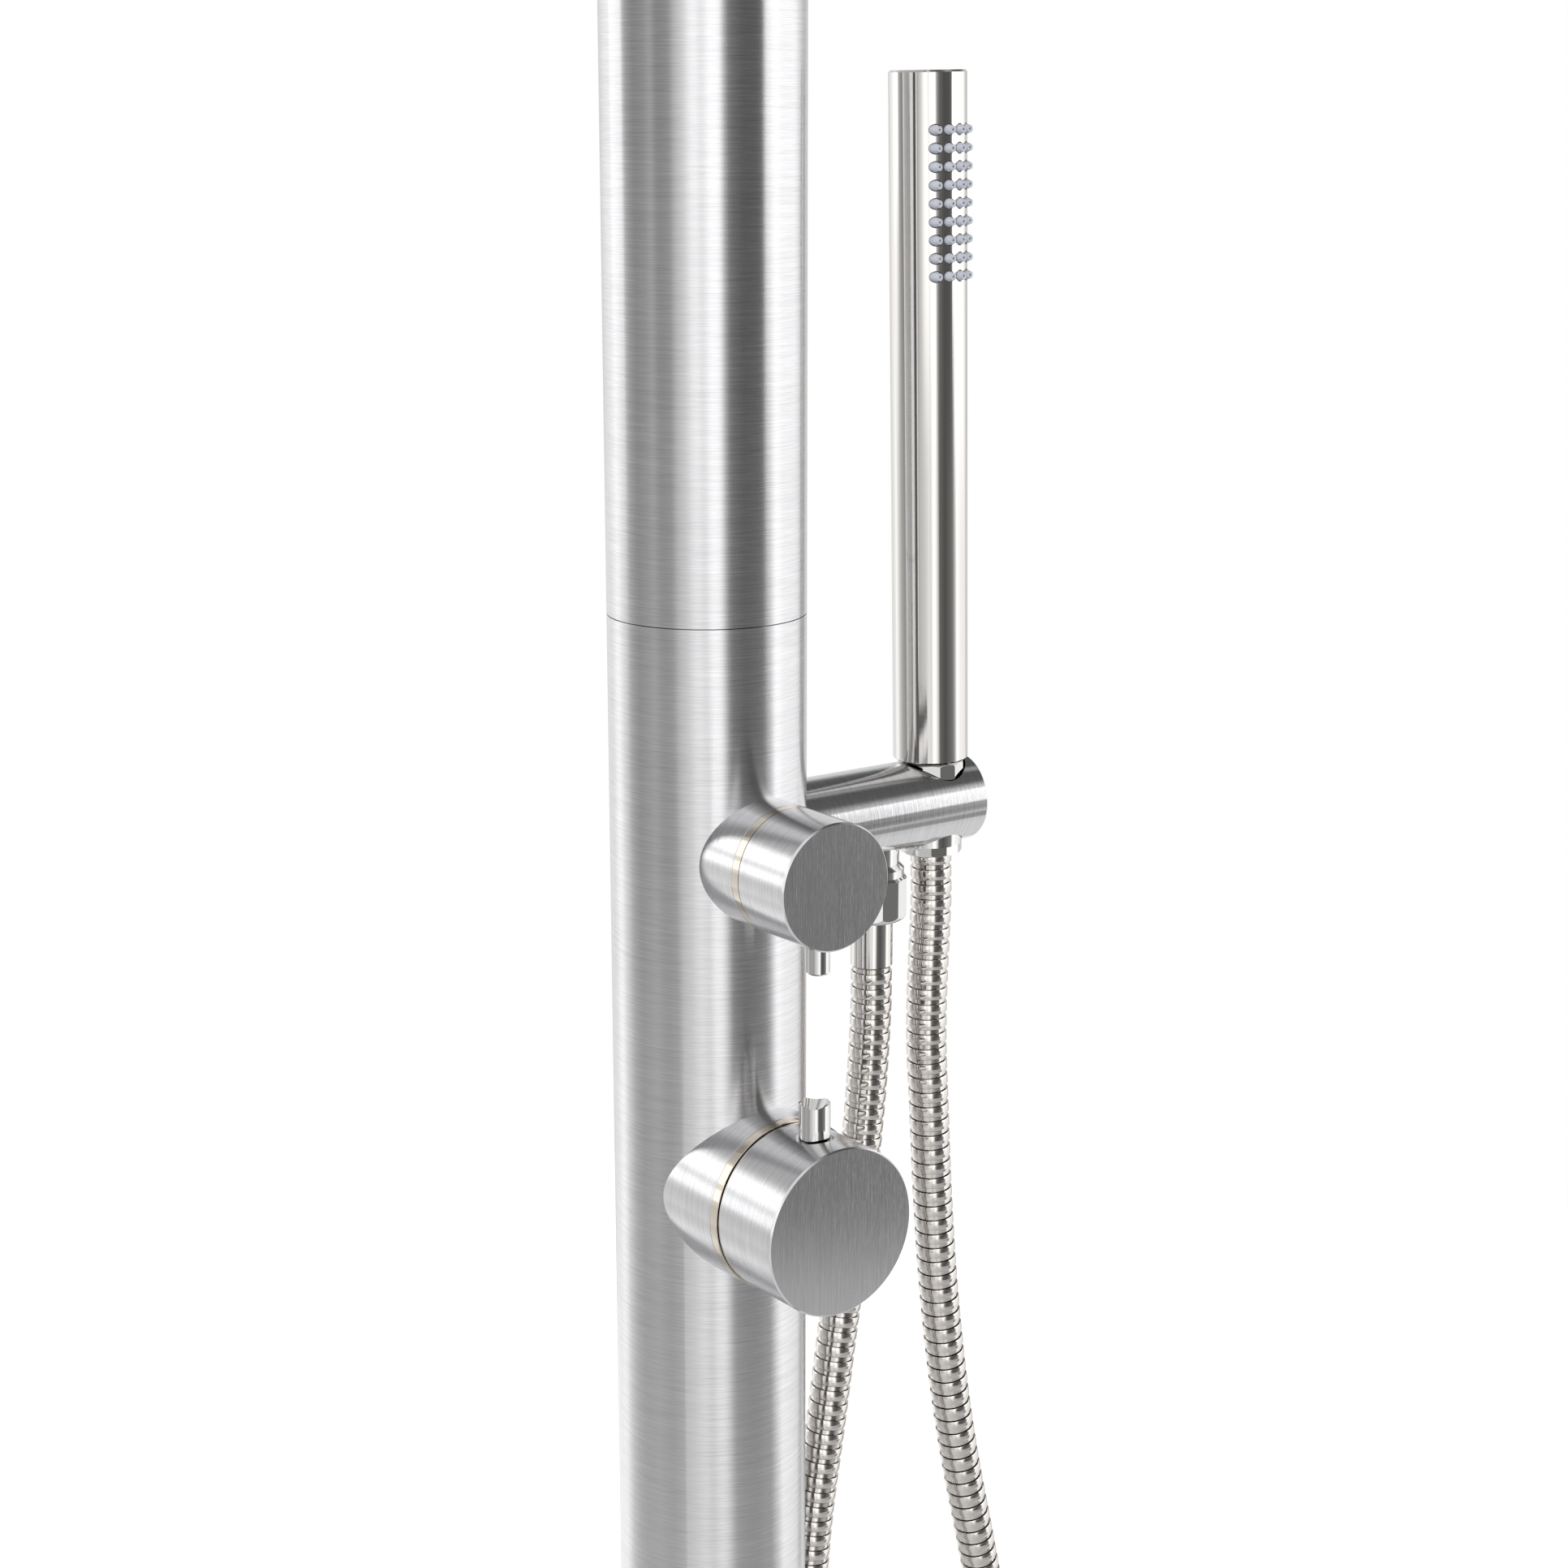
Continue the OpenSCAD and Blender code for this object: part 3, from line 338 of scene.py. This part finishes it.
# Key lamp, above and to the left, which steel doesn't mirror
LAMP_PLACE = Vector((-2.2, -1.6, 3.2))
LAMP_TARGET = Vector((0, 0, 1.0))
LAMP_SIDE = 1.4
LAMP_POWER = 60
lamp = bpy.data.lights.new("key_lamp", "AREA")
lamp.shape = "RECTANGLE"
lamp.size = lamp.size_y = LAMP_SIDE
lamp.energy = LAMP_POWER
lamp_holder = bpy.data.objects.new("key_lamp", lamp)
bpy.context.scene.collection.objects.link(lamp_holder)
lamp_holder.location = LAMP_PLACE
lamp_holder.rotation_mode = "QUATERNION"
lamp_holder.rotation_quaternion = (LAMP_TARGET - LAMP_PLACE).to_track_quat("-Z", "Y")
lamp_holder.visible_glossy = False


# Floor, which takes the shadow and is left out of the reflections
FLOOR_REACH = 2.2
FLOOR_GREY = 0.8
FLOOR_GLOW = 0.62
floor_corners = [(sx * FLOOR_REACH, sy * FLOOR_REACH, 0) for sx, sy in ((-1, -1), (1, -1), (1, 1), (-1, 1))]
floor_mesh = bpy.data.meshes.new("floor")
floor_mesh.from_pydata(floor_corners, [], [(0, 1, 2, 3)])
floor = bpy.data.objects.new("floor", floor_mesh)
bpy.context.scene.collection.objects.link(floor)
floor_paint = bpy.data.materials.new("floor_paint")
shade = Shader(floor_paint)
paint = shade.add("BsdfDiffuse", None, {"Color": (FLOOR_GREY, FLOOR_GREY, FLOOR_GREY, 1)})
glow = shade.add("Emission", None, {"Color": (1, 1, 1, 1), "Strength": FLOOR_GLOW})
lit = shade.add("AddShader", None, (paint, glow))
clear = shade.add("BsdfTransparent")
to_camera = shade.add("LightPath", output="Is Camera Ray")
to_steel = shade.add("LightPath", output="Is Glossy Ray")
paint = shade.add("MixShader", None, {0: to_camera, 1: paint, 2: lit})
shade.close(shade.add("MixShader", None, {0: to_steel, 1: paint, 2: clear}))
floor_mesh.materials.append(floor_paint)


# Finishes. A grain is the pattern's scale along x, y and z: the large number lies across the strokes.
ROUND_Z = (90, 90, 3600)
ROUND_Y = (90, 3600, 90)
ROUND_X = (3600, 90, 90)
UPRIGHT = (4200, 60, 60)
PLATE_GRAIN = (1800, 50, 50)
STEEL = (0.70, 0.70, 0.71)
POLISHED = (0.74, 0.735, 0.72)
STROKE_DEPTH = 0.000016
COARSE_SHARE = 0.22
FACE_COARSE_SHARE = 0.3
FACE_FROM = (0.9, 0.95)
FACE_ROUGH = 0.06


class Finish(Shader):
    """A procedural finish of the object."""

    def __init__(self, name):
        self.material = bpy.data.materials.new(name)
        super().__init__(self.material)
        self.place = self.add("TexCoord", output="Object")
        self.facing = self.add("TexCoord", output="Normal")

    def strokes(self, grain, scale_share):
        """Brushed strokes of two sizes."""
        fine = self.noise(self.stretched(self.place, grain), 1.0, 3.0, 0.65)
        coarse_grain = tuple(g * scale_share for g in grain)
        return fine, self.noise(self.stretched(self.place, coarse_grain), 1.0, 3.0, 0.6)

    def surface(self, colour, roughness, bump, distance, strength=1.0, metallic=1.0, **fixed):
        sockets = {"Base Color": colour, "Roughness": roughness, "Metallic": metallic}
        for key, value in fixed.items():
            sockets[key.replace("_", " ").title()] = value
        sockets["Normal"] = self.add("Bump", None, {"Strength": strength, "Distance": distance,
                                                    "Height": bump})
        self.close(self.add("BsdfPrincipled", None, sockets))
        return self.material


def brushed_steel(name, grain, rough=0.12, anisotropic=0.0, turn=0.0, face=None):
    """Steel with a fine brushed grain. Flat fronts have the grain of face, when it is given."""
    f = Finish(name)
    fine, coarse = f.strokes(grain, COARSE_SHARE)
    base = rough
    if face:
        flat = f.axes(f.facing)[1].absolute().above(*FACE_FROM)
        fine_face, coarse_face = f.strokes(face, FACE_COARSE_SHARE)
        fine = f.mix(flat, fine, fine_face)
        coarse = f.mix(flat, coarse, coarse_face)
        base = flat * (FACE_ROUGH - rough) + rough
    cloud = f.noise(f.place, 22.0, 3.0, 0.55)
    streaks = (fine - 0.5) * 1.7 + (coarse - 0.5) * 0.5 + (cloud - 0.5) * 0.25
    colour = f.blend(streaks + 0.55, shaded(STEEL, 0.81), shaded(STEEL, 1.12))
    roughness = (fine - 0.5) * 0.06 + (cloud - 0.5) * 0.03 + base
    return f.surface(colour, roughness, fine + coarse * 0.3, STROKE_DEPTH,
                     anisotropic=anisotropic, anisotropic_rotation=turn)


def polished_steel(name, tone=POLISHED, rough=0.09, anisotropic=0.0, turn=0.0):
    """Bright steel with faint smudges and turning lines."""
    f = Finish(name)
    smudge = f.noise(f.place, 45.0, 4.0, 0.6)
    lines = f.noise(f.stretched(f.place, (40, 40, 1500)), 1.0, 2.0, 0.5)
    colour = f.blend((smudge - 0.5) * 0.2 + 0.7, shaded(tone, 0.86), shaded(tone, 1.04))
    roughness = (smudge - 0.5) * 0.05 + (lines - 0.5) * 0.04 + rough
    return f.surface(colour, roughness, smudge + lines * 0.3, 0.00004, strength=0.12,
                     anisotropic=anisotropic, anisotropic_rotation=turn)


def turned_brass(name):
    f = Finish(name)
    rings = f.noise(f.stretched(f.place, (300, 300, 900)), 1.0, 2.0, 0.5)
    stain = f.noise(f.place, 60.0, 4.0, 0.6)
    colour = f.blend(stain.above(0.35, 0.75), (0.74, 0.56, 0.26), (0.60, 0.43, 0.20))
    return f.surface(colour, rings * 0.15 + 0.2, rings, 0.00003, strength=0.3)


def matt(name, tone, rough):
    """Rubber, silicone or moulded plastic."""
    f = Finish(name)
    grain = f.noise(f.place, 900.0, 3.0, 0.6)
    wear = f.noise(f.place, 80.0, 3.0, 0.6)
    colour = f.blend(wear, shaded(tone, 0.88), shaded(tone, 1.10))
    return f.surface(colour, (grain - 0.5) * 0.1 + rough, grain, 0.00005, strength=0.2, metallic=0.0)


post_steel = brushed_steel("brushed_post_steel", ROUND_Z, rough=0.22, anisotropic=0.92, turn=0.25)
front_steel = brushed_steel("brushed_front_steel", ROUND_Y, rough=0.14, face=UPRIGHT)
arm_steel = brushed_steel("brushed_arm_steel", ROUND_X, rough=0.11)
plate_steel = brushed_steel("brushed_plate_steel", PLATE_GRAIN)
tube_polish = polished_steel("polished_tube_steel", tone=(0.745, 0.725, 0.70), rough=0.08,
                             anisotropic=0.85, turn=0.25)
plain_polish = polished_steel("polished_steel_parts", rough=0.07)
ring_polish = polished_steel("polished_trim_steel", tone=(0.74, 0.67, 0.58), rough=0.08)
hose_polish = polished_steel("polished_hose_steel", tone=(0.70, 0.67, 0.64), rough=0.07)
brass = turned_brass("turned_brass")
black_rubber = matt("black_rubber", (0.035, 0.035, 0.038), 0.6)
grey_silicone = matt("grey_silicone", (0.52, 0.54, 0.60), 0.42)
cream_plastic = matt("moulded_plastic", (0.72, 0.70, 0.65), 0.45)

FINISHES = {
    "base_plate": plate_steel, "base_collar": post_steel, "collar_screws": plain_polish,
    "lower_column": post_steel, "upper_column": post_steel, "column_sleeve": post_steel,
    "sleeve_screws": plain_polish, "column_cap": post_steel,
    "mixer_boss": front_steel, "mixer_body": brass, "mixer_cartridge": cream_plastic,
    "mixer_spindle": brass, "mixer_nut": brass, "mixer_ring": ring_polish, "mixer_knob": front_steel,
    "mixer_pin": plain_polish,
    "diverter_boss": front_steel, "diverter_body": brass, "diverter_cartridge": cream_plastic,
    "diverter_spindle": brass, "diverter_nut": brass, "diverter_ring": ring_polish,
    "diverter_knob": front_steel, "diverter_pin": plain_polish,
    "cold_inlet": brass, "hot_inlet": brass, "cold_pipe": plain_polish, "hot_pipe": plain_polish,
    "link_pipe": plain_polish, "riser_pipe": plain_polish, "riser_elbow": brass,
    "holder_arm": arm_steel, "outlet_nipple": plain_polish, "outlet_washer": black_rubber,
    "union_nut": plain_polish, "outlet_ferrule": tube_polish, "nut_ferrule": tube_polish,
    "cone_nut": plain_polish, "cone_washer": black_rubber, "handset_connector": plain_polish,
    "handset_tube": tube_polish, "handset_cap": tube_polish, "handset_nozzles": grey_silicone,
    "overhead_arm": front_steel, "arm_collar": plain_polish, "ball_nipple": plain_polish,
    "ball_seal": black_rubber, "ball_nut": plain_polish, "head_shell": plate_steel,
    "head_gasket": black_rubber, "head_plate": plain_polish, "head_nozzles": grey_silicone,
    "shower_hose": hose_polish}


def dress(piece, finish):
    piece.data.materials.clear()
    piece.data.materials.append(finish)


for name, finish in FINISHES.items():
    dress(nodes[name], finish)
dress(hose, hose_polish)
